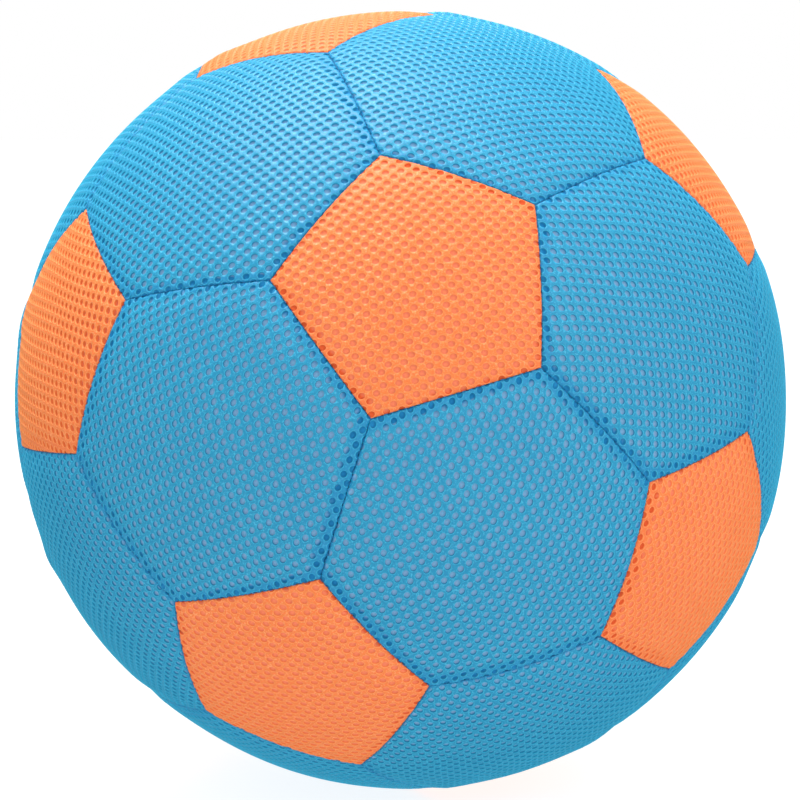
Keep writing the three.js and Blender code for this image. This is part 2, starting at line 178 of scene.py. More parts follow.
def srgb(red, green, blue):
    def linear(value):
        value /= 255
        return value / 12.92 if value <= 0.04045 else ((value + 0.055) / 1.055) ** 2.4

    return (linear(red), linear(green), linear(blue), 1)


# Of the mix node's inputs, 0 is its factor and 6 and 7 are its colours; output 2 is a colour too
def mixColours(tree, share, first, second):
    return addNode(tree, "ShaderNodeMix", {0: share, 6: first, 7: second}, data_type="RGBA").outputs[2]


def attribute(tree, name, output="Fac"):
    return addNode(tree, "ShaderNodeAttribute", attribute_name=name).outputs[output]


def noise(tree, place, scale, detail):
    inputs = {"Vector": place, "Scale": scale, "Detail": detail}
    return addNode(tree, "ShaderNodeTexNoise", inputs).outputs["Fac"]


def roughen(tree, shader, height, strength, distance):
    bump = addNode(tree, "ShaderNodeBump", {"Height": height, "Strength": strength, "Distance": distance})
    setInputs(tree, shader, {"Normal": bump})


def between(tree, value, low, high, toLow=0.0, toHigh=1.0):
    inputs = {"Value": value, "From Min": low, "From Max": high, "To Min": toLow, "To Max": toHigh}
    return addNode(tree, "ShaderNodeMapRange", inputs, interpolation_type="SMOOTHSTEP").outputs[0]


# Knitted polyester with holes: pit is 0 on the strands and 1 on a hole's floor, backed is 1 over a turned-in
# edge, and lay is the place on the flat cloth, by which the filaments run
yarn = {
    "cloudScale": 26.0, "fleckScale": 1500.0, "filamentScale": (2300.0, 750.0, 0.0), "filamentHeight": 0.9,
    "relief": 0.16 * mm, "bump": 0.5, "backedShare": 0.5, "fleckShare": 0.5, "floorRoughness": 0.8,
    "sheenRoughness": 0.4,
}
# Where each fade begins and ends: the first four by noise, the others by pit
fades = {
    "cloud": (0.3, 0.7), "filament": (0.38, 0.62), "fleck": (0.56, 0.68), "spot": (0.35, 0.65),
    "groove": (0.0, 0.09), "ridge": (0.0, 0.13), "lip": (0.16, 0.28), "wall": (0.3, 0.45),
    "dull": (0.3, 0.8), "floor": (0.8, 0.96),
}


def meshFabric(name, look):
    material, tree, shader = newMaterial(name)
    look = {key: srgb(*value) if isinstance(value, tuple) else value for key, value in look.items()}
    pit = attribute(tree, "pit")
    backed = attribute(tree, "backed")
    lay = attribute(tree, "lay", "Vector")
    place = addNode(tree, "ShaderNodeTexCoord").outputs["Object"]
    cloudy = noise(tree, place, yarn["cloudScale"], 3.0)
    fine = noise(tree, place, yarn["fleckScale"], 1.0)
    stretch = {0: lay, 1: yarn["filamentScale"]}
    stretched = addNode(tree, "ShaderNodeVectorMath", stretch, operation="MULTIPLY")
    filament = noise(tree, stretched, 1.0, 1.0)
    strand = look["strand"]
    for share, colour in (
        (between(tree, cloudy, *fades["cloud"]), "strandFaded"),
        # The darker yarn colour marks the strands along the filaments, which is the yarn's grain, and the
        # groove between two holes' edges, which is painted shade
        (between(tree, filament, *fades["filament"], look["yarnShare"], 0.0), "yarnGap"),
        (between(tree, pit, *fades["groove"], look["groove"], 0.0), "yarnGap"),
        # Light specks on the strands, where the fine noise is high, are painted glints
        (between(tree, fine, *fades["fleck"], 0.0, yarn["fleckShare"]), "fleck"),
        (mathNode(tree, "MULTIPLY", backed, yarn["backedShare"]), "strandBacked"),
    ):
        strand = mixColours(tree, share, strand, look[colour])
    floor = mixColours(tree, between(tree, fine, *fades["spot"]), look["floor"], look["floorSpot"])
    floor = mixColours(tree, backed, floor, look["floorBacked"])
    # The lighter ring round each hole's edge is a painted highlight
    lip = mixColours(tree, between(tree, pit, *fades["lip"]), strand, look["lip"])
    # The darker, deeper colour down the holes' walls is painted shade
    wall = mixColours(tree, between(tree, pit, *fades["wall"]), lip, look["wall"])
    relief = mathNode(tree, "ADD", mathNode(tree, "MULTIPLY", filament, yarn["filamentHeight"]), fine)
    relief = mathNode(tree, "ADD", relief, between(tree, pit, *fades["ridge"]))
    roughen(tree, shader, relief, yarn["bump"], yarn["relief"])
    setInputs(tree, shader, {
        "Base Color": mixColours(tree, between(tree, pit, *fades["floor"]), wall, floor),
        "Roughness": between(tree, pit, *fades["dull"], look["roughness"], yarn["floorRoughness"]),
        "Specular IOR Level": look["specular"],
        "Sheen Weight": look["sheen"],
        "Sheen Tint": look["sheenTint"],
        "Sheen Roughness": yarn["sheenRoughness"],
    })
    return material


blueMesh = meshFabric("blue air mesh", {
    "strand": (6, 141, 182), "strandFaded": (16, 148, 187), "strandBacked": (6, 126, 182),
    "fleck": (88, 200, 232), "yarnGap": (6, 128, 174), "yarnShare": 0.6, "groove": 0.35,
    "lip": (52, 188, 224), "wall": (4, 128, 174),
    "floor": (116, 176, 212), "floorSpot": (136, 172, 209), "floorBacked": (0, 124, 180),
    "roughness": 0.44, "specular": 0.45, "sheen": 0.3, "sheenTint": (60, 205, 255),
})
orangeMesh = meshFabric("orange air mesh", {
    "strand": (228, 127, 62), "strandFaded": (231, 134, 70), "strandBacked": (232, 110, 58),
    "fleck": (255, 182, 132), "yarnGap": (240, 104, 50), "yarnShare": 0.55, "groove": 0.3,
    "lip": (255, 164, 100), "wall": (238, 120, 62),
    "floor": (238, 133, 90), "floorSpot": (234, 127, 96), "floorBacked": (214, 84, 38),
    "roughness": 0.42, "specular": 0.28, "sheen": 0.06, "sheenTint": (255, 210, 110),
})


# Sewing thread, zip, metal and vinyl. Each finish: two colours, pattern scale, roughness, relief in mm
def plainFinish(name, colour, second, scale, roughness, relief, metallic=0.0):
    material, tree, shader = newMaterial(name)
    place = addNode(tree, "ShaderNodeTexCoord").outputs["Object"]
    broad = noise(tree, place, scale, 4.0)
    worn = noise(tree, place, scale * 3, 2.0)
    roughen(tree, shader, worn, 0.3, relief * mm)
    setInputs(tree, shader, {
        "Base Color": mixColours(tree, between(tree, broad, *fades["spot"]), srgb(*colour), srgb(*second)),
        "Roughness": between(tree, worn, *fades["cloud"], roughness * 0.85, roughness * 1.15),
        "Metallic": metallic,
    })
    return material


# Tape woven in herringbone, by its own map: U across in ribs, V along the zip
tapeWeave = {
    "ribs": 8.0, "threads": 160.0, "slant": 1.6, "relief": 0.15 * mm, "roughness": 0.75, "sheen": 0.2,
}


def wovenTape(name, colour, paintedShade):
    material, tree, shader = newMaterial(name)
    lay = addNode(tree, "ShaderNodeUVMap", uv_map="OFBake")
    parts = addNode(tree, "ShaderNodeSeparateXYZ", {0: lay}).outputs
    rib = mathNode(tree, "PINGPONG", mathNode(tree, "MULTIPLY", parts["X"], tapeWeave["ribs"]), 1.0)
    slant = mathNode(tree, "MULTIPLY", rib, tapeWeave["slant"])
    run = mathNode(tree, "ADD", mathNode(tree, "MULTIPLY", parts["Y"], tapeWeave["threads"]), slant)
    height = between(tree, mathNode(tree, "PINGPONG", run, 0.5), 0.05, 0.45)
    roughen(tree, shader, height, 0.6, tapeWeave["relief"])
    setInputs(tree, shader, {
        # The low parts of the weave take the darker colour, which is painted shade
        "Base Color": mixColours(tree, height, srgb(*paintedShade), srgb(*colour)),
        "Roughness": tapeWeave["roughness"],
        "Sheen Weight": tapeWeave["sheen"],
    })
    return material


threadFinish = plainFinish("sewing thread", (20, 112, 170), (12, 92, 148), 900, 0.6, 0.06)
topThread = plainFinish("top stitching thread", (40, 140, 192), (28, 116, 168), 900, 0.6, 0.06)
tapeFinish = wovenTape("woven zip tape", (56, 150, 200), (30, 112, 164))
nylonFinish = plainFinish("nylon coil", (44, 138, 190), (36, 122, 172), 300, 0.4, 0.02)
enamelFinish = plainFinish("blue enamel", (40, 130, 182), (34, 118, 168), 120, 0.28, 0.01)
nickelFinish = plainFinish("nickel", (196, 199, 204), (172, 176, 182), 400, 0.25, 0.01, 1.0)
vinylFinish = plainFinish("bladder vinyl", (216, 219, 232), (205, 209, 224), 30, 0.35, 0.1)
clearFinish = plainFinish("valve vinyl", (228, 231, 238), (218, 221, 230), 80, 0.3, 0.05)
print("mesh fabrics and finishes ready")


# Net of the cover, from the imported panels: pentagon centres, hexagons between three of them, seam corners
pentagonNames = sorted(n for n in nodes if n.startswith("pentagon_panel"))
hexagonNames = sorted(n for n in nodes if n.startswith("hexagon_panel"))
pentagonWays = unit([nodePoints(n).mean(0) for n in pentagonNames])
crown = max(np.linalg.norm(nodePoints(n), axis=1).max() for n in pentagonNames)
beside = np.abs(pentagonWays @ pentagonWays.T - 1 / math.sqrt(5)) < 1e-3
joints = {joint["name"]: joint for joint in frame["joints"]}
acrossZip = unit(joints["zip_run"]["axis"])


# Sewing has pulled some seam corners aside: to the right and up as the camera sees them, in mm, by the
# numbers of the pentagon at the corner and of the one that its seam runs towards
cornerPull = {
    (8, 4): (2, -2), (8, 12): (-1.5, 0), (8, 6): (1, 1), (1, 2): (0, -2.5), (1, 6): (-2, -0.5),
    (1, 7): (1.5, -2.5), (1, 3): (1, -2), (6, 12): (-1.5, -1.5), (6, 11): (0, -3), (6, 7): (2, -1.5),
    (6, 1): (2, 0), (2, 8): (0, 2.5), (2, 1): (-2, 3), (2, 4): (-3, -0.5), (2, 3): (-1, 0.5),
    (4, 2): (1, 4.5), (4, 8): (-1.5, 2), (4, 12): (-2.5, 2.5), (12, 4): (1.5, 1), (12, 8): (0, 1),
    (12, 6): (1, 2),
}
# Where the ball isn't quite round: angle round the outline in degrees, height in mm, reach in degrees
bulges = [
    (0, -1.75, 16), (28, -0.65, 16), (342, -0.3, 8), (90, 0.5, 45), (205, -0.55, 16), (236, -1.5, 14),
    (291, 1.2, 20), (120, 1.6, 5), (336, -1.1, 4), (204.3, 1.1, 2.5), (168, 1.3, 4), (84, 0.8, 4),
    (300, 0.8, 4), (276, 0.8, 4),
]
seenRight = np.array([1.0, 0.0, 0.0])
seenUp = np.array([0.0, math.sin(tilt), math.cos(tilt)])
seenTowards = np.array([0.0, -math.cos(tilt), math.sin(tilt)])


def seamCorner(i, j):
    way = unit(2 * pentagonWays[i] + pentagonWays[j])
    right, up = cornerPull.get((i + 1, j + 1), (0, 0))
    aside = way @ seenRight + right * mm / crown, way @ seenUp + up * mm / crown
    if right == 0 and up == 0:
        return way
    towards = math.sqrt(1 - aside[0] ** 2 - aside[1] ** 2)
    return unit(aside[0] * seenRight + aside[1] * seenUp + towards * seenTowards)


def bulged(ways):
    height = np.zeros(len(ways))
    lean = math.asin(crown / view["distance"])  # the outline lies this far round to the near side
    for angle, high, reach in bulges:
        turn = math.radians(angle)
        rim = math.cos(lean) * (math.cos(turn) * seenRight + math.sin(turn) * seenUp)
        rim += math.sin(lean) * seenTowards
        away = np.degrees(np.arccos(np.clip(ways @ rim, -1, 1)))
        height += high * mm * np.exp(-(away / reach) ** 2)
    return height


def panelNet():
    hexagons = [
        three for three in itertools.combinations(range(12), 3)
        if all(beside[i, j] for i, j in itertools.combinations(three, 2))
    ]
    ways = unit([pentagonWays[list(three)].mean(0) for three in hexagons])
    named = {int(np.argmax(ways @ unit(nodePoints(name).mean(0)))): name for name in hexagonNames}
    named[next(i for i in range(20) if i not in named)] = "zip_panel"
    net = {}
    for i, name in enumerate(pentagonNames):
        net[name] = {"way": pentagonWays[i], "corners": [seamCorner(i, j) for j in range(12) if beside[i, j]]}
    for index, name in named.items():
        corners = [seamCorner(i, j) for i, j in itertools.permutations(hexagons[index], 2)]
        net[name] = {"way": ways[index], "corners": corners}
    middles = {}
    for name, panel in net.items():
        panel["right"] = right = unit(np.cross((0, 0, 1), panel["way"]))
        panel["up"] = up = np.cross(panel["way"], right)
        corners = sorted(panel["corners"], key=lambda c: math.atan2(c @ up, c @ right))
        panel["edges"] = []
        for ends in zip(corners, corners[1:] + corners[:1]):
            middle = tuple(np.round(unit(ends[0] + ends[1]), 3))
            panel["edges"].append({"inward": unit(np.cross(*ends)), "middle": middle, "ends": ends})
            middles.setdefault(middle, []).append(name)
    for name, panel in net.items():
        for edge in panel["edges"]:
            edge["beyond"] = next((n for n in middles[edge["middle"]] if n != name), None)
    return net


net = panelNet()
print("net of the cover:", len(net), "panels,", sum(len(p["edges"]) for p in net.values()) // 2, "seams")


# The mesh's own lattice and holes
airMesh = {"floorShare": 0.85, "columns": 34, "rows": 56, **sizes(
    pitch=5.32,  # between holes along a row
    rowGap=3.19,
    holeAlong=1.42,  # half the hole's width along the row
    holeAcross=1.7,  # and across the rows
    groove=0.2,  # how far the yarn dips between the raised lips of two holes
    depth=1.4, reach=84,
    drift=0.45,  # how far the lattice wanders, as cloth does
)}
# How the panel is crowned, rolled over at its seams, and turned in behind them
panelForm = {"seamHoles": 0.3, "innerMapShare": 0.12, **sizes(
    gap=0.3, dip=0.85, dipReach=11, rollDrop=0.6, rollReach=0.9, foldInner=169.8, zipFoldInner=171.48,
    zipSlot=4.6, allowance=5.5, step=0.5, inner=172.8, pucker=0.22, puckerReach=7,
    fullHoles=1.6,  # as far from the seam the holes have their full depth, and at it the share seamHoles
    edgeBlur=0.3, mapWidth=160,
    spare=4,  # as far past the seam the lattice goes on until it is cut
    slotShown=5.0, puckerOut=0.05,
)}
# Waves along a panel that pucker its seams, and how far they make the turned-in edges' widths wander
waves = {"pucker": (95, 70), "edge": 40, "edgeShare": 0.12}
# Panels by the first letter of their kind and their number. Angle of the mesh on each panel that the
# photograph shows; the others take one from the seed
meshAngles = {
    "p01": 5, "p02": 137, "p06": 75, "p08": 6.5, "p12": 32, "h01": 2, "h02": 67.5, "h04": 117, "h05": 79,
    "h07": 16, "h11": 147, "h17": 130,
}
# How deep the holes are as a share of the full depth, by kind or panel: the tighter the cloth, the shallower
holeDepths = {"h": 0.8, "p": 0.5, "z": 0.8, "p02": 1.05, "p12": 0.8}
# Width in mm of the turned-in edges that show through the two panels at a seam: both may lie to one side
turnedIn = {
    "p08 h11": (3.4, 2.5), "p08 h17": (1.8, 3.8), "p08 h05": (1.6, 4.4), "p08 h02": (3.0, 3.2),
    "p08 h07": (1.6, 3.6), "h07 h11": (5.0, 1.0), "h17 h05": (4.0, 4.0), "h02 h05": (5.2, 0.6),
    "h05 p01": (4.8, 1.4), "h05 h04": (5.6, 0.8), "h17 h18": (5.6, 0.6), "h07 h02": (3.2, 2.2),
    "h11 h17": (2.4, 2.6), "h02 p01": (3.6, 0.8), "p01 h01": (2.8, 1.0), "p01 h04": (3.2, 0.6),
    "p01 h03": (3.0, 0.8), "h02 h01": (5.2, 1.6), "p12 h11": (0.6, 2.0), "p12 h17": (0.8, 3.4),
    "p04 h07": (0.8, 2.4), "p04 h11": (0.8, 2.4),
}
wideEdge, narrowEdge = 5.2, 1.2  # elsewhere


# Short name of a panel, as in the values above
def shortName(name):
    return name[0] + name[-2:]


def latticeTree():
    tree, given, out = newTree("air mesh lattice", [
        ("Cell", "Object"), ("Columns", "Int"), ("Rows", "Int"), ("Pitch", "Float"), ("Row Gap", "Float"),
        ("Reach", "Float"), ("Turn", "Float"), ("Material", "Material"),
    ])
    given = given.outputs
    wide = mathNode(tree, "MULTIPLY", mathNode(tree, "SUBTRACT", given["Columns"], 1.0), given["Pitch"])
    tall = mathNode(tree, "MULTIPLY", mathNode(tree, "SUBTRACT", given["Rows"], 1.0), given["Row Gap"])
    grid = addNode(tree, "GeometryNodeMeshGrid", {
        "Size X": wide, "Size Y": tall, "Vertices X": given["Columns"], "Vertices Y": given["Rows"],
    })
    number = addNode(tree, "GeometryNodeInputIndex")
    row = mathNode(tree, "MODULO", number, given["Rows"])
    odd = mathNode(tree, "MODULO", row, 2.0)
    aside = mathNode(tree, "MULTIPLY", mathNode(tree, "MULTIPLY", odd, 0.5), given["Pitch"])
    offset = addNode(tree, "ShaderNodeCombineXYZ", {"X": aside})
    staggered = addNode(tree, "GeometryNodeSetPosition", {"Geometry": grid, "Offset": offset})
    place = addNode(tree, "GeometryNodeInputPosition")
    away = addNode(tree, "ShaderNodeVectorMath", {0: place}, operation="LENGTH").outputs["Value"]
    outside = addNode(tree, "FunctionNodeCompare", {"A": away, "B": given["Reach"]}, data_type="FLOAT")
    doomed = {"Geometry": staggered, "Selection": outside}
    kept = addNode(tree, "GeometryNodeDeleteGeometry", doomed, domain="POINT")
    cell = addNode(tree, "GeometryNodeObjectInfo", {"Object": given["Cell"]})
    instance = {"Points": kept, "Instance": cell.outputs["Geometry"]}
    cells = addNode(tree, "GeometryNodeInstanceOnPoints", instance)
    real = addNode(tree, "GeometryNodeRealizeInstances", {0: cells})
    welded = addNode(tree, "GeometryNodeMergeByDistance", {0: real, "Distance": 0.02 * mm})
    angle = addNode(tree, "ShaderNodeCombineXYZ", {"Z": given["Turn"]})
    here = addNode(tree, "GeometryNodeInputPosition")
    mark = {"Geometry": welded, "Name": "lay", "Value": here}
    marked = addNode(
        tree, "GeometryNodeStoreNamedAttribute", mark, data_type="FLOAT_VECTOR", domain="POINT",
    )
    turned = addNode(tree, "GeometryNodeTransform", {0: marked, "Rotation": angle})
    dressed = addNode(tree, "GeometryNodeSetMaterial", {0: turned, "Material": given["Material"]})
    setInputs(tree, out, {0: dressed})
    return tree


# One hole with the strands round it, out to where the next cells begin
def makeCell():
    p, g = airMesh["pitch"], airMesh["rowGap"]
    tip = (p * p / 4 + g * g) / (2 * g)  # the cell's corner across the rows
    side = (p * p / 4 + g * g - p * p / 2) / (2 * g)  # and the height of its short sides
    corners = [(0, tip), (p / 2, side), (p / 2, -side), (0, -tip), (-p / 2, -side), (-p / 2, side)]
    rim = []
    for i, (a, b) in enumerate(zip(corners, corners[1:] + corners[:1])):
        rim.append(a)
        if i not in (1, 4):
            rim.append(((a[0] + b[0]) / 2, (a[1] + b[1]) / 2))
    along, across, share = airMesh["holeAlong"], airMesh["holeAcross"], airMesh["floorShare"]
    turns = [math.radians(t) for t in (90, 52, 17, -17, -52, -90, -128, -163, 163, 128)]
    # Each point: place, depth and pit
    points = [(x, y, -airMesh["groove"], 0.0) for x, y in rim]
    points += [(along * math.cos(t), across * math.sin(t), 0.0, 0.25) for t in turns]
    points += [(x * share, y * share, -airMesh["depth"], 1.0) for x, y, _, _ in points[10:]]
    faces = []
    for ring in (0, 10):
        for i in range(10):
            j = (i + 1) % 10
            faces.append((ring + i, ring + 10 + i, ring + 10 + j, ring + j))
    faces.append(tuple(range(29, 19, -1)))
    mesh = bpy.data.meshes.new("air mesh cell")
    mesh.from_pydata([p[:3] for p in points], [], faces)
    storeValues(mesh, "pit", "FLOAT", np.array([p[3] for p in points]))
    mesh.update()
    return addObject("airMeshCell", mesh)


lattice = latticeTree()
cell = makeCell()
carrier = addObject("latticeCarrier", bpy.data.meshes.new("latticeCarrier"))


# Slow wandering of the lattice, different on each panel
def drift(x, y, seed):
    rng = np.random.default_rng(seed)
    dx, dy = np.zeros_like(x), np.zeros_like(y)
    for _ in range(4):
        way = rng.uniform(0, 2 * math.pi)
        length = rng.uniform(28, 60) * mm
        wave = (x * math.cos(way) + y * math.sin(way)) * 2 * math.pi / length + rng.uniform(0, 6.28)
        turn = rng.uniform(0, 2 * math.pi)
        dx += np.sin(wave) * math.cos(turn)
        dy += np.sin(wave) * math.sin(turn)
    return x + airMesh["drift"] * dx / 2, y + airMesh["drift"] * dy / 2


def seamProfile(distance):
    form = panelForm
    near = np.clip(1 - distance / form["dipReach"], 0, 1)
    dip = form["dip"] * near * near * (3 - 2 * near)
    roll = np.clip(1 - distance / form["rollReach"], 0, 1)
    return dip + form["rollDrop"] * (1 - np.sqrt(1 - roll * roll))


def boundaryLoop(faces):
    ends = np.roll(faces, -1, axis=1)
    size = int(faces.max()) + 1
    keys = (faces * size + ends).ravel()
    unmatched = keys[~np.isin(keys, (ends * size + faces).ravel())]
    following = dict(zip((unmatched // size).tolist(), (unmatched % size).tolist()))
    start = next(iter(following))
    loop = [start]
    while following.get(loop[-1], start) != start and len(loop) <= len(following):
        loop.append(following[loop[-1]])
    if len(loop) != len(following):
        raise SystemExit(f"the panel's edge has {len(following)} points and its loop {len(loop)}")
    return loop


def triangleMesh(name, points, triangles):
    mesh = bpy.data.meshes.new(name)
    mesh.vertices.add(len(points))
    mesh.vertices.foreach_set("co", points.astype(np.float32).ravel())
    mesh.loops.add(len(triangles) * 3)
    mesh.loops.foreach_set("vertex_index", triangles.astype(np.int32).ravel())
    mesh.polygons.add(len(triangles))
    mesh.polygons.foreach_set("loop_start", np.arange(len(triangles), dtype=np.int32) * 3)
    mesh.polygons.foreach_set("use_smooth", np.ones(len(triangles), bool))
    mesh.update(calc_edges=True)
    return mesh


def makePanel(name, panel, cuts, material, seed):
    form = panelForm
    pitShare = holeDepths.get(shortName(name), holeDepths[name[0]])
    rng = np.random.default_rng(seed)
    angle = meshAngles.get(shortName(name), rng.uniform(0, 180))
    flat = grown(carrier, lattice, {
        "Cell": cell, "Columns": airMesh["columns"], "Rows": airMesh["rows"], "Pitch": airMesh["pitch"],
        "Row Gap": airMesh["rowGap"], "Reach": airMesh["reach"], "Turn": math.radians(angle - 90),
        "Material": material,
    })
    points = valuesOf(flat.vertices, "co", 3).astype(float)
    start = rng.uniform(-0.5, 0.5, 2) * airMesh["pitch"]
    x, y = drift(points[:, 0] + start[0], points[:, 1] + start[1], seed)
    away = np.maximum(np.hypot(x, y), 1e-9)
    turn = away / crown
    ways = panel["way"] * np.cos(turn)[:, None]
    ways += (panel["right"] * x[:, None] + panel["up"] * y[:, None]) * (np.sin(turn) / away)[:, None]
    # The bare lattice lies on the crown; its depth is kept apart until the panel is cut
    flat.vertices.foreach_set("co", (ways * crown).astype(np.float32).ravel())
    storeValues(flat, "sunk", "FLOAT", points[:, 2])
    build = bmesh.new()
    build.from_mesh(flat)
    inward = np.array([cut["inward"] for cut in cuts])
    setback = np.array([cut["setback"] for cut in cuts])
    clear = (ways * crown) @ inward.T - setback
    farOut = (clear < -form["spare"]).any(1)
    doomed = [v for v, far in zip(build.verts, farOut) if far]
    bmesh.ops.delete(build, geom=doomed, context="VERTS")
    for cut in cuts:
        bmesh.ops.bisect_plane(
            build, geom=build.verts[:] + build.edges[:] + build.faces[:], dist=1e-6,
            plane_co=Vector(cut["inward"] * cut["setback"]), plane_no=Vector(cut["inward"]), clear_inner=True,
        )
    build.to_mesh(flat)
    build.free()
    flat.calc_loop_triangles()
    deep = valuesOf(flat.attributes["sunk"].data, "value", 1)
    pit = valuesOf(flat.attributes["pit"].data, "value", 1)
    lay = valuesOf(flat.attributes["lay"].data, "vector", 3)
    faces = valuesOf(flat.loop_triangles, "vertices", 3, np.int32).astype(np.int64)
    ways = unit(valuesOf(flat.vertices, "co", 3))
    bpy.data.meshes.remove(flat)
    clear = (ways * crown) @ inward.T - setback
    nearest = clear.argmin(1)
    distance = np.maximum(clear.min(1), 0)
    along = ways @ rng.normal(size=(3, 3))
    first, second = waves["pucker"]
    ripple = np.sin(along[:, 0] * first + 1) * np.sin(along[:, 1] * second + 2)
    pucker = form["pucker"] * ripple * np.exp(-distance / form["puckerReach"])
    # The turned-in edge lies close behind the cloth at a seam
    shallow = np.clip(distance / form["fullHoles"], form["seamHoles"], 1)
    taut = crown + bulged(ways)
    radius = taut - seamProfile(distance) - np.maximum(pucker, -form["puckerOut"]) + deep * shallow * pitShare
    backed = np.zeros(len(ways))
    for index, cut in enumerate(cuts):
        edgeWidth = cut["shown"] * (1 + waves["edgeShare"] * np.sin(along[:, 2] * waves["edge"]))
        fade = np.clip((edgeWidth - clear[:, index]) / form["edgeBlur"] + 0.5, 0, 1)
        backed = np.maximum(backed, fade)

    # The edge goes down to the fold, in under the panel, and back up to the cloth's inner side
    loop = boundaryLoop(faces)
    edgeWays = ways[loop]
    fold = np.array([cuts[i]["fold"] for i in nearest[loop]])
    toCentre = np.arccos(np.clip(edgeWays @ panel["way"], -1, 1))
    sideways = unit(panel["way"] - edgeWays * (edgeWays @ panel["way"])[:, None])

    def inset(reach):
        turns = np.minimum(reach / crown, toCentre * 0.8)
        return edgeWays * np.cos(turns)[:, None] + sideways * np.sin(turns)[:, None]

    # The inner side lies below the hole floors, also where the ball is dented
    def innerSide(sideWays):
        return sideWays * (form["inner"] + np.minimum(bulged(sideWays), 0))[:, None]

    rings = [
        edgeWays * fold[:, None],
        inset(form["allowance"]) * fold[:, None],
        innerSide(inset(form["allowance"] + form["step"])),
        innerSide(inset(toCentre * crown * 0.5)),
    ]
    outer = ways * radius[:, None]
    count = len(loop)
    allPoints = [outer]
    quads = []
    above = np.array(loop)
    start = len(outer)
    for ring in rings:
        below = start + np.arange(count)
        quads.append(np.stack([np.roll(above, -1), above, below], 1))
        quads.append(np.stack([np.roll(above, -1), below, np.roll(below, -1)], 1))
        allPoints.append(ring)
        above = below
        start += count
    allPoints.append(innerSide(panel["way"][None]))
    quads.append(np.stack([np.roll(above, -1), above, np.full(count, start)], 1))
    allPoints = np.concatenate(allPoints)
    triangles = np.concatenate([faces] + quads)

    mesh = triangleMesh(name, allPoints, triangles)
    mesh.materials.append(material)
    extra = len(allPoints) - len(outer)
    storeValues(mesh, "pit", "FLOAT", np.concatenate([pit, np.zeros(extra)]))
    storeValues(mesh, "backed", "FLOAT", np.concatenate([backed, np.zeros(extra)]))
    storeValues(mesh, "lay", "FLOAT_VECTOR", np.concatenate([lay, np.zeros((extra, 3))]))
    # The outer side fills most of the map, the inner side a corner of it
    right, up = allPoints @ panel["right"], allPoints @ panel["up"]
    where = np.stack([right, up], 1) / form["mapWidth"] + 0.5
    layer = mesh.uv_layers.new(name="OFBake")
    corners = triangles.ravel()
    isInner = np.repeat(np.arange(len(triangles)) >= len(faces), 3)
    chosen = where[corners] * np.where(isInner, form["innerMapShare"], 1.0)[:, None]
    layer.data.foreach_set("uv", chosen.astype(np.float32).ravel())
    return addObject("fabric_" + name, mesh)


# How wide the turned-in edge shows beside each seam of a panel
def shownEdge(name, beyond):
    here, there = shortName(name), shortName(beyond)
    if f"{here} {there}" in turnedIn:
        return turnedIn[f"{here} {there}"][0]
    if f"{there} {here}" in turnedIn:
        return turnedIn[f"{there} {here}"][1]
    low, high = sorted([name, beyond])
    toLow = np.random.default_rng(sum(map(ord, low + high))).random() < 0.5
    return wideEdge if (name == low) == toLow else narrowEdge


def cutsOf(name, panel):
    return [{
        "inward": edge["inward"],
        "setback": panelForm["gap"] / 2,
        "shown": shownEdge(name, str(edge["beyond"])) * mm,
        "fold": panelForm["foldInner"],
    } for edge in panel["edges"]]


seed = 40
for name, panel in net.items():
    seed += 1
    if name == "zip_panel":
        continue
    isPentagon = name.startswith("pentagon")
    made = makePanel(name, panel, cutsOf(name, panel), orangeMesh if isPentagon else blueMesh, seed)
    dress(made, "cover", name)
    print(made.name, len(made.data.polygons), "triangles")

zipPanel = net["zip_panel"]
for name, side in (("zip_panel_left", -1), ("zip_panel_right", 1)):
    seed += 1
    inward = acrossZip * side
    slotCut = {
        "inward": inward, "setback": panelForm["zipSlot"], "shown": panelForm["slotShown"],
        "fold": panelForm["zipFoldInner"],
    }
    kept = [
        (cut, edge) for cut, edge in zip(cutsOf(name, zipPanel), zipPanel["edges"])
        if np.array(edge["middle"]) @ inward > -0.05
    ]
    half = dict(zipPanel)
    way = unit(nodePoints(name).mean(0))
    half["way"] = way
    half["right"] = unit(np.cross((0, 0, 1), way))
    half["up"] = np.cross(way, half["right"])
    made = makePanel(name, half, [cut for cut, _ in kept] + [slotCut], blueMesh, seed)
    dress(made, "cover", name)
    print(made.name, len(made.data.polygons), "triangles")

for helper in (cell, carrier):
    bpy.data.objects.remove(helper)


# Closed body through rings of points, capped at both ends or drawn to a tip there
def loft(name, rings, material, tips=None):
    rings = np.asarray(rings, float)
    count, size = rings.shape[:2]
    tips = np.stack([rings[0].mean(0), rings[-1].mean(0)]) if tips is None else np.asarray(tips, float)
    points = np.concatenate([rings.reshape(-1, 3), tips])
    near = np.arange(size)
    after = (near + 1) % size
    triangles = []
    for k in range(count - 1):
        low, high = k * size, (k + 1) * size
        triangles.append(np.stack([low + near, low + after, high + after], 1))
        triangles.append(np.stack([low + near, high + after, high + near], 1))
    first, last = count * size, count * size + 1
    end = (count - 1) * size
    triangles.append(np.stack([np.full(size, first), after, near], 1))
    triangles.append(np.stack([np.full(size, last), end + near, end + after], 1))
    triangles = np.concatenate(triangles)
    a, b, c = (points[triangles[:, i]] for i in range(3))
    if np.einsum("ij,ij->i", a, np.cross(b, c)).sum() < 0:
        triangles = triangles[:, ::-1].copy()
    mesh = triangleMesh(name, points, triangles)
    mesh.materials.append(material)
    return addObject(name, mesh)


def setMap(made, values):
    mesh = made.data
    corners = valuesOf(mesh.loops, "vertex_index", 1, np.int32)
    layer = mesh.uv_layers.new(name="OFBake")
    layer.data.foreach_set("uv", np.asarray(values, np.float32)[corners].ravel())


# Seam stitches: one short run of thread after another, in the crease of every seam
stitching = sizes(pitch=2.6, length=2.1, width=0.42, radius=173.45)


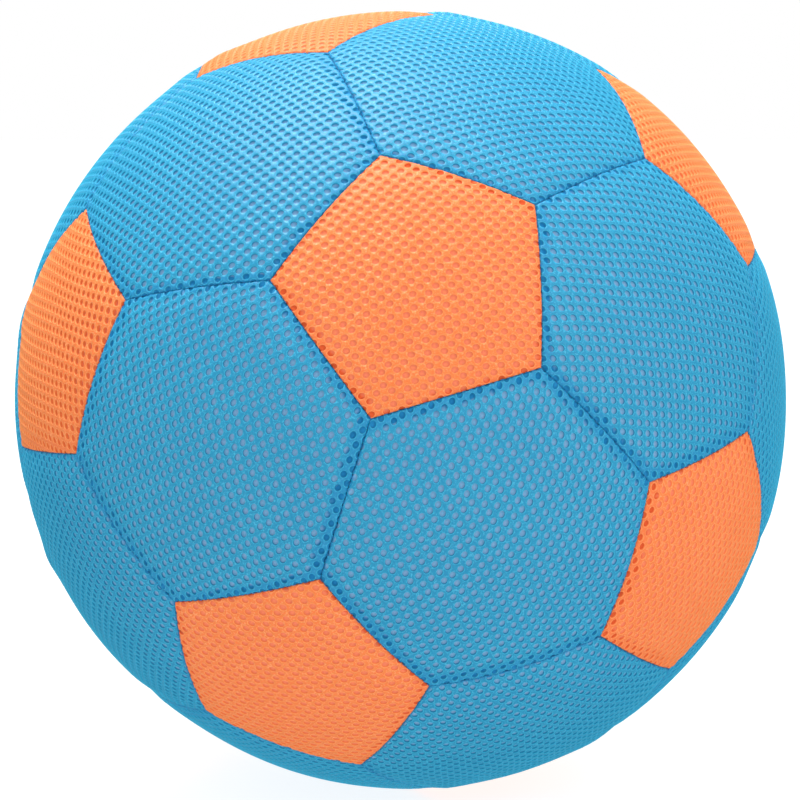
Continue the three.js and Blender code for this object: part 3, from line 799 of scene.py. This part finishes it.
def stitchTree():
    tree, given, out = newTree("stitches along a path", [
        ("Geometry", "Geometry"), ("Stitch", "Object"), ("Pitch", "Float"), ("Material", "Material"),
    ])
    given = given.outputs
    line = addNode(tree, "GeometryNodeMeshToCurve", {0: given["Geometry"]})
    spacing = {"Curve": line, "Length": given["Pitch"]}
    spaced = addNode(tree, "GeometryNodeResampleCurve", spacing, mode="LENGTH")
    tangent = addNode(tree, "GeometryNodeInputTangent")
    place = addNode(tree, "GeometryNodeInputPosition")
    align = "FunctionNodeAlignRotationToVector"
    along = addNode(tree, align, {"Vector": tangent}, axis="X")
    upright = addNode(tree, align, {"Rotation": along, "Vector": place}, axis="Z", pivot_axis="X")
    stitch = addNode(tree, "GeometryNodeObjectInfo", {"Object": given["Stitch"]})
    run = addNode(tree, "GeometryNodeInstanceOnPoints", {
        "Points": spaced, "Instance": stitch.outputs["Geometry"], "Rotation": upright,
    })
    real = addNode(tree, "GeometryNodeRealizeInstances", {0: run})
    dressed = addNode(tree, "GeometryNodeSetMaterial", {0: real, "Material": given["Material"]})
    setInputs(tree, out, {0: dressed})
    return tree


def makeStitch():
    half, width = stitching["length"] / 2, stitching["width"] / 2
    turns = np.arange(6) * math.pi / 3
    section = [width * np.cos(turns), width * np.sin(turns) * 0.8]
    rings = [np.stack([np.full(6, x * half)] + section, 1) for x in (-0.6, 0.6)]
    return loft("oneStitch", rings, threadFinish, tips=[(-half, 0, 0), (half, 0, 0)])


def sewAlong(name, paths, material):
    points, edges = [], []
    for path in paths:
        edges += [(len(points) + i, len(points) + i + 1) for i in range(len(path) - 1)]
        points += [tuple(p) for p in path]
    mesh = bpy.data.meshes.new(name)
    mesh.from_pydata(points, edges, [])
    made = addObject(name, mesh)
    values = {"Stitch": oneStitch, "Pitch": stitching["pitch"], "Material": material}
    made.data = grown(made, stitches, values)
    return made


stitches = stitchTree()
oneStitch = makeStitch()
seams = {}
for panel in net.values():
    for edge in panel["edges"]:
        seams.setdefault(edge["middle"], edge["ends"])
seamPaths = []
for first, last in seams.values():
    shares = np.linspace(0.012, 0.988, 15)[:, None]
    ways = unit(first * (1 - shares) + last * shares)
    seamPaths.append(ways * (stitching["radius"] + bulged(ways))[:, None])
seamStitches = sewAlong("seam_stitches", seamPaths, threadFinish)
dress(seamStitches, "cover", "seam_thread")
print("seam stitches:", len(seamStitches.data.polygons), "faces on", len(seamPaths), "seams")


# The zip. Distances along it are arcs at the top of its tapes, from the middle of its panel
zipForm = sizes(
    tapeTop=171.18, tapeBottom=170.68, tapeInner=1.3, tapeOuter=12.0, tapeNarrow=4.3, tapeEnd=62.16,
    tapeWideEnd=55.6, coilLow=171.38, coilHigh=173.18, coilEnd=52.66, coilWidth=2.0, wire=0.31,
    toothPitch=1.27,
    closedInner=-0.28,  # the closed teeth reach past the middle, between the other coil's
    openInner=1.1, partsAt=47.5, anchor=172.3, stop=(52.96, 55.46),
)
zipOut = zipPanel["way"]
zipUp = np.cross(zipOut, acrossZip)


def zipPoint(across, along, radius):
    turn, lean = np.asarray(along) / zipForm["tapeTop"], np.asarray(across) / radius
    x, middle = radius * np.sin(lean), radius * np.cos(lean)
    y, z = middle * np.sin(turn), middle * np.cos(turn)
    return x[..., None] * acrossZip + y[..., None] * zipUp + z[..., None] * zipOut


def zipTape(name, side):
    form = zipForm
    stations = [(-form["tapeEnd"], "tapeNarrow"), (-form["tapeWideEnd"] - 0.5 * mm, "tapeNarrow")]
    stations += [(a, "tapeOuter") for a in np.linspace(-form["tapeWideEnd"], form["tapeWideEnd"], 45)]
    stations += [(form["tapeWideEnd"] + 0.5 * mm, "tapeNarrow"), (form["tapeEnd"], "tapeNarrow")]
    rings, places = [], []
    for along, edge in stations:
        across = np.linspace(form["tapeInner"], form[edge], 9)
        both = np.concatenate([across, across[::-1]]) * side
        heights = np.array([form["tapeTop"]] * 9 + [form["tapeBottom"]] * 9)
        rings.append(zipPoint(both, np.full(18, along), heights))
        places += [(0.05 + abs(a) * 30, 0.5 + along * 6.5) for a in both[:9]]
        places += [(0.95 - abs(a) * 30, 0.5 + along * 6.5) for a in both[9:]]
    made = loft(name, rings, tapeFinish)
    setMap(made, places + [places[0], places[-1]])
    return made


def zipCoil(name, side):
    form = zipForm
    turns = int(2 * form["coilEnd"] / form["toothPitch"])
    steps = turns * 12
    share = np.linspace(0, 1, steps + 1)
    along = (share - 0.5) * 2 * (form["coilEnd"] - form["wire"])
    phase = 2 * math.pi * turns * share + (math.pi if side > 0 else 0)
    opened = np.clip((along - form["partsAt"] + 1 * mm) / (2 * mm), 0, 1)
    opened = opened * opened * (3 - 2 * opened)
    inner = form["closedInner"] * (1 - opened) + form["openInner"] * opened
    middle = inner + form["coilWidth"] / 2
    halfWidth = form["coilWidth"] / 2 - form["wire"]
    halfHeight = (form["coilHigh"] - form["coilLow"]) / 2 - form["wire"]
    across = side * (middle + halfWidth * np.cos(phase))
    radius = (form["coilHigh"] + form["coilLow"]) / 2 + halfHeight * np.sin(phase)
    path = zipPoint(across, along, radius)
    core = zipPoint(side * middle, along, (form["coilHigh"] + form["coilLow"]) / 2)
    tangent = unit(np.gradient(path, axis=0))
    inwards = core - path
    inwards = unit(inwards - tangent * np.einsum("ij,ij->i", inwards, tangent)[:, None])
    sideways = np.cross(tangent, inwards)
    rings = []
    for k in range(6):
        turn = k * math.pi / 3
        rings.append(path + form["wire"] * (math.cos(turn) * inwards + math.sin(turn) * sideways))
    return loft(name, np.stack(rings, 1), nylonFinish)


for label, side in (("left", -1), ("right", 1)):
    dress(zipTape("woven_tape_" + label, side), "cover", "zip_tape_" + label)
    coil = dress(zipCoil("nylon_coil_" + label, side), "cover", "zip_coil_" + label)
    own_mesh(coil)
print("zip tapes and coils made")

# Rows of top stitching hold the panels' folded edges to the tapes
topRow = sizes(fromSlot=2.1, reach=54, sunk=0.72)
topRows = []
for side in (-1, 1):
    across = np.full(60, side * (panelForm["zipSlot"] + topRow["fromSlot"]))
    along = np.linspace(-topRow["reach"], topRow["reach"], 60)
    topRows.append(zipPoint(across, along, crown - topRow["sunk"]))
topStitches = sewAlong("zip_top_stitching", topRows, topThread)
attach(topStitches, "cover")
bpy.data.objects.remove(oneStitch)


# Slider, pull tab and stops, as rounded solids in the slider's own frame: X across, Y up the zip, Z outwards
pivot = np.array(joints["pull_swing"]["pos_m"])
sliderOut = unit(pivot)
sliderUp = np.cross(sliderOut, acrossZip)


def inSlider(x, y, z):
    return np.outer(x, acrossZip) + np.outer(y, sliderUp) + np.outer(z, sliderOut)


def plate(build, outline, low, high, bevel):
    bottom = [build.verts.new((x, y, low)) for x, y in outline]
    top = [build.verts.new((x, y, high)) for x, y in outline]
    count = len(outline)
    faces = [build.faces.new(bottom[::-1]), build.faces.new(top)]
    for i in range(count):
        j = (i + 1) % count
        faces.append(build.faces.new((bottom[i], bottom[j], top[j], top[i])))
    rims = [e for f in faces[:2] for e in f.edges]
    bmesh.ops.bevel(
        build, geom=rims, offset=bevel, segments=3, profile=0.6, affect="EDGES", clamp_overlap=True,
    )


def roundedOutline(width, low, high, radius, steps=5):
    points = []
    for cx, cy, start in (
        (width - radius, high - radius, 0), (-width + radius, high - radius, 90),
        (-width + radius, low + radius, 180), (width - radius, low + radius, 270),
    ):
        for k in range(steps + 1):
            turn = math.radians(start + 90 * k / steps)
            points.append((cx + radius * math.cos(turn), cy + radius * math.sin(turn)))
    return points


def finished(name, build, finish, place):
    bmesh.ops.recalc_face_normals(build, faces=build.faces[:])
    mesh = bpy.data.meshes.new(name)
    build.to_mesh(mesh)
    build.free()
    points = valuesOf(mesh.vertices, "co", 3).astype(float)
    mesh.vertices.foreach_set("co", place(points).astype(np.float32).ravel())
    mesh.polygons.foreach_set("use_smooth", np.ones(len(mesh.polygons), bool))
    mesh.materials.append(finish)
    mesh.update()
    made = addObject(name, mesh)
    mesh.set_sharp_from_angle(angle=math.radians(38))
    return made


sliderForm = sizes(
    halfWidth=4.2, halfLength=5.0, corner=1.6,
    notch=4.1,  # where the wings' notch ends at the upper end, between the coils
    lowerWing=(169.6, 170.36), upperWing=(173.5, 174.38), sides=(171.5, 173.6), sideEnds=(-3.9, 3.5),
    channel=3.4, divider=(0.8, 1.6, 4.9), dividerTaper=1.2, bridgeReach=3.1, bridgeFoot=(174.1, 175.9),
    bridgeTop=177.2, bridgeHalf=(0.9, 0.38),
)


def makeSlider():
    form = sliderForm
    wide, long = form["halfWidth"], form["halfLength"]
    wing = roundedOutline(wide, -long, long, form["corner"])
    wing.insert(6, (0, form["notch"]))
    build = bmesh.new()
    for low, high in (form["lowerWing"], form["upperWing"]):
        plate(build, wing, low, high, 0.22 * mm)
    low, high = form["sideEnds"]
    for side in (-1, 1):
        inner, outer = side * form["channel"], side * wide
        edge = [(inner, low), (outer, low), (outer, high), (inner, high)]
        plate(build, edge[::side], *form["sides"], 0.12 * mm)
    half, start, end = form["divider"]
    waist = end - form["dividerTaper"]
    wedge = [(0, start), (half, waist), (half * 0.8, end), (-half * 0.8, end), (-half, waist)]
    plate(build, wedge, form["lowerWing"][1] - 0.1 * mm, form["upperWing"][0] + 0.1 * mm, 0.1 * mm)
    reach, top = form["bridgeReach"], form["bridgeTop"]
    root, foot = form["bridgeFoot"]
    across, thick = form["bridgeHalf"]
    path = [(-reach, root), (-reach, foot)]
    for t in np.linspace(0.25, math.pi - 0.25, 13):
        path.append((-reach * math.cos(t), top - (top - foot) * (1 - math.sin(t))))
    path += [(reach, foot), (reach, root)]
    path = np.array(path)
    along = unit(np.gradient(path, axis=0))
    aside = np.stack([-along[:, 1], along[:, 0]], 1)
    section = [(-1, -0.5), (-0.75, -1), (0.75, -1), (1, -0.5), (1, 0.5), (0.75, 1), (-0.75, 1), (-1, 0.5)]
    rings = []
    for (y, z), (ny, nz) in zip(path, aside):
        places = [(across * u, y + thick * v * ny, z + thick * v * nz) for u, v in section]
        rings.append([build.verts.new(p) for p in places])
    for a, b in zip(rings, rings[1:]):
        for i in range(8):
            build.faces.new((a[i], a[(i + 1) % 8], b[(i + 1) % 8], b[i]))
    build.faces.new(rings[0][::-1])
    build.faces.new(rings[-1])
    return finished("zip_slider_body", build, enamelFinish, lambda p: inSlider(p[:, 0], p[:, 1], p[:, 2]))


pullForm = {"tilt": 2, **sizes(
    length=22, half=2.7, neck=2.3, neckEnd=-5.4, shoulder=-8.2, thick=1.0, chamfer=0.5, eye=(1.4, 5.0),
    eyeChamfer=0.6, grip=1.3, bevel=0.18,
)}


def arc(middle, radius, turns):
    return [(radius * math.cos(t), middle + radius * math.sin(t)) for t in turns]


def makePull():
    form = pullForm
    half, neck, top = form["half"], form["neck"], form["thick"] / 2
    end = top - form["length"] + half
    chamfer = form["chamfer"]
    outer = [(neck - chamfer, top), (-neck + chamfer, top), (-neck, top - chamfer)]
    outer += [(-neck, form["neckEnd"]), (-half, form["shoulder"])]
    outer += arc(end, half, np.linspace(math.pi, 2 * math.pi, 17))
    outer += [(half, form["shoulder"]), (neck, form["neckEnd"]), (neck, top - chamfer)]
    wide, low = form["eye"]
    chamfer = form["eyeChamfer"]
    eye = [(-wide, -top), (wide, -top), (wide, -low + chamfer)]
    eye += [(wide - chamfer, -low), (-wide + chamfer, -low), (-wide, -low + chamfer)]
    grip = arc(end, form["grip"], np.linspace(0, 2 * math.pi, 21)[:-1])
    curve = bpy.data.curves.new("pull outline", "CURVE")
    curve.dimensions = "2D"
    curve.fill_mode = "BOTH"
    for points in (outer, eye, grip):
        spline = curve.splines.new("POLY")
        spline.points.add(len(points) - 1)
        spline.points.foreach_set("co", [v for x, y in points for v in (x, y, 0, 1)])
        spline.use_cyclic_u = True
    curve.extrude = top - form["bevel"]
    curve.bevel_depth = form["bevel"]
    curve.bevel_resolution = 2
    curve.offset = -form["bevel"]
    flat = addObject("pull outline", curve)
    graph = bpy.context.evaluated_depsgraph_get()
    mesh = bpy.data.meshes.new_from_object(flat.evaluated_get(graph), depsgraph=graph)
    bpy.data.objects.remove(flat)
    build = bmesh.new()
    build.from_mesh(mesh)
    bmesh.ops.remove_doubles(build, verts=build.verts[:], dist=1e-6)
    tiltTurn = math.radians(form["tilt"])

    def place(p):
        y = p[:, 1] * math.cos(tiltTurn) - p[:, 2] * math.sin(tiltTurn)
        z = p[:, 1] * math.sin(tiltTurn) + p[:, 2] * math.cos(tiltTurn)
        return inSlider(p[:, 0], y, z) + pivot

    return finished("zip_pull_tab", build, enamelFinish, place)


dress(makeSlider(), "slider", "zip_slider")
dress(makePull(), "pull", "zip_pull")


def makeStop(name, node, low, high, along):
    build = bmesh.new()
    start, end = along
    outline = [(low, start), (high, start), (high, end), (low, end)]
    plate(build, outline, zipForm["coilLow"] + 0.02 * mm, zipForm["coilHigh"], 0.35 * mm)
    made = finished(name, build, nickelFinish, lambda p: zipPoint(p[:, 0], p[:, 1], p[:, 2]))
    return dress(made, "cover", node)


openInner, openOuter = zipForm["openInner"], zipForm["openInner"] + zipForm["coilWidth"]
stopAt = zipForm["stop"]
makeStop("top_stop_left", "zip_top_stop_left", -openOuter, -openInner, stopAt)
makeStop("top_stop_right", "zip_top_stop_right", openInner, openOuter, stopAt)
makeStop("bottom_stop", "zip_bottom_stop", -openOuter, openOuter, (-stopAt[1], -stopAt[0]))
print("slider, pull tab and stops made")


# Bladder: a thin round skin with a hole for the valve's stem and welded seams like an orange's segments
bladderForm = {"segments": 8, "steps": 96, **sizes(radius=169.1, wall=0.4, hole=3.9, weld=0.14)}


def makeBladder():
    form = bladderForm
    axis = unit(nodePoints("valve_body").mean(0))
    side = unit(np.cross(axis, (0, 0, 1)))
    third = np.cross(axis, side)
    turns = np.arange(form["steps"]) * 2 * math.pi / form["steps"]
    angles = [form["hole"] / form["radius"], *np.linspace(0.05, math.pi - 0.03, form["steps"] // 2 - 2)]
    around = np.outer(np.cos(turns), side) + np.outer(np.sin(turns), third)
    raised = np.abs(np.cos(turns * form["segments"] / 2)) ** 24

    def ring(angle, radius, weld):
        radii = radius + weld * raised * math.sin(angle) ** 0.5
        return (np.cos(angle) * axis + np.sin(angle) * around) * radii[:, None]

    inner = [ring(a, form["radius"] - form["wall"], 0) for a in angles[::-1]]
    outer = [ring(a, form["radius"], form["weld"]) for a in angles]
    tips = [-axis * (form["radius"] - form["wall"]), -axis * form["radius"]]
    return loft("vinyl_bladder", inner + outer, vinylFinish, tips=tips)


dress(makeBladder(), "cover", "bladder")
for name in ("valve_body", "valve_plug", "valve_flap"):
    nodes[name].material_slots[0].material = clearFinish
print("bladder and valve made")


# Light: a broad lamp above, a faint one at the front right, and a white room
def areaLamp(name, place, size, power):
    lamp = bpy.data.lights.new(name, "AREA")
    lamp.shape = "DISK"
    lamp.size = size
    lamp.energy = power
    made = addObject(name, lamp)
    made.location = place
    made.rotation_euler = Vector(place).to_track_quat("Z", "Y").to_euler()


areaLamp("top lamp", (-0.42, 0.36, 2.0), 1.1, 44)
areaLamp("side lamp", (1.3, -1.5, 1.0), 1.0, 4)


def rayOutputs(tree):
    path = addNode(tree, "ShaderNodeLightPath").outputs
    seen = mathNode(tree, "MAXIMUM", path["Is Camera Ray"], path["Is Transmission Ray"])
    return seen, path["Is Glossy Ray"]


# The room's light grows from the horizon to the top, and a little to the right and the back. Reflections
# see a dimmer room with a bright front, and the camera plain white
roomLight = {"horizon": 0.76, "slopes": {"Z": 0.9, "Y": 0.1, "X": 0.2}, "reflectedShare": 0.2}
room = bpy.data.worlds.new("studio")
bpy.context.scene.world = room
room.use_nodes = True
tree = room.node_tree
light = tree.nodes["Background"]
heading = addNode(tree, "ShaderNodeTexCoord").outputs["Generated"]
ways = addNode(tree, "ShaderNodeSeparateXYZ", {0: heading}).outputs
grade = roomLight["horizon"]
for axis, slope in roomLight["slopes"].items():
    grade = mathNode(tree, "ADD", mathNode(tree, "MULTIPLY", ways[axis], slope), grade)
seen, glossy = rayOutputs(tree)
front = mathNode(tree, "MAXIMUM", mathNode(tree, "MULTIPLY", ways["Y"], -1.0), 0.0)
reflected = mathNode(tree, "ADD", mathNode(tree, "MULTIPLY", grade, roomLight["reflectedShare"]), front)
direct = mathNode(tree, "MULTIPLY", grade, mathNode(tree, "SUBTRACT", 1.0, glossy))
strength = mathNode(tree, "ADD", direct, mathNode(tree, "MULTIPLY", reflected, glossy))
setInputs(tree, light, {"Color": (1, 1, 1, 1), "Strength": strength})
white = addNode(tree, "ShaderNodeBackground", {"Color": (1, 1, 1, 1), "Strength": 1.0})
chosen = addNode(tree, "ShaderNodeMixShader", {0: seen, 1: light, 2: white})
setInputs(tree, tree.nodes["World Output"], {0: chosen})

# The floor keeps the ball's shadow, lights the ball evenly from below, and looks white to the camera
floorLook = {
    "base": 0.1, "roughness": 0.9, "even": 1.15, "seenBase": 0.25, "seenGlow": 0.86,
    "reflectedGlow": 0.04, "reach": 6.0, "below": 1 * mm,
}
floorMaterial, tree, shader = newMaterial("white floor")
setInputs(tree, shader, {
    "Base Color": (*[floorLook["base"]] * 3, 1),
    "Roughness": floorLook["roughness"],
    "Emission Strength": floorLook["even"],
})
thin = addNode(tree, "ShaderNodeBsdfDiffuse", {"Color": (*[floorLook["seenBase"]] * 3, 1)})
glow = addNode(tree, "ShaderNodeEmission", {"Color": (1, 1, 1, 1), "Strength": floorLook["seenGlow"]})
dim = addNode(tree, "ShaderNodeEmission", {"Color": (1, 1, 1, 1), "Strength": floorLook["reflectedGlow"]})
bright = addNode(tree, "ShaderNodeAddShader", {0: thin, 1: glow})
seen, glossy = rayOutputs(tree)
chosen = addNode(tree, "ShaderNodeMixShader", {0: glossy, 1: shader, 2: dim})
chosen = addNode(tree, "ShaderNodeMixShader", {0: seen, 1: chosen, 2: bright})
setInputs(tree, tree.nodes["Material Output"], {0: chosen})
floorMesh = bpy.data.meshes.new("floor")
lowest = cadBox[0][2] - floorLook["below"]
reach = floorLook["reach"]
sides = [(-reach, -reach), (reach, -reach), (reach, reach), (-reach, reach)]
floorMesh.from_pydata([(x, y, lowest) for x, y in sides], [], [(0, 1, 2, 3)])
floorMesh.materials.append(floorMaterial)
floor = addObject("floor", floorMesh)
print("lights and floor set")
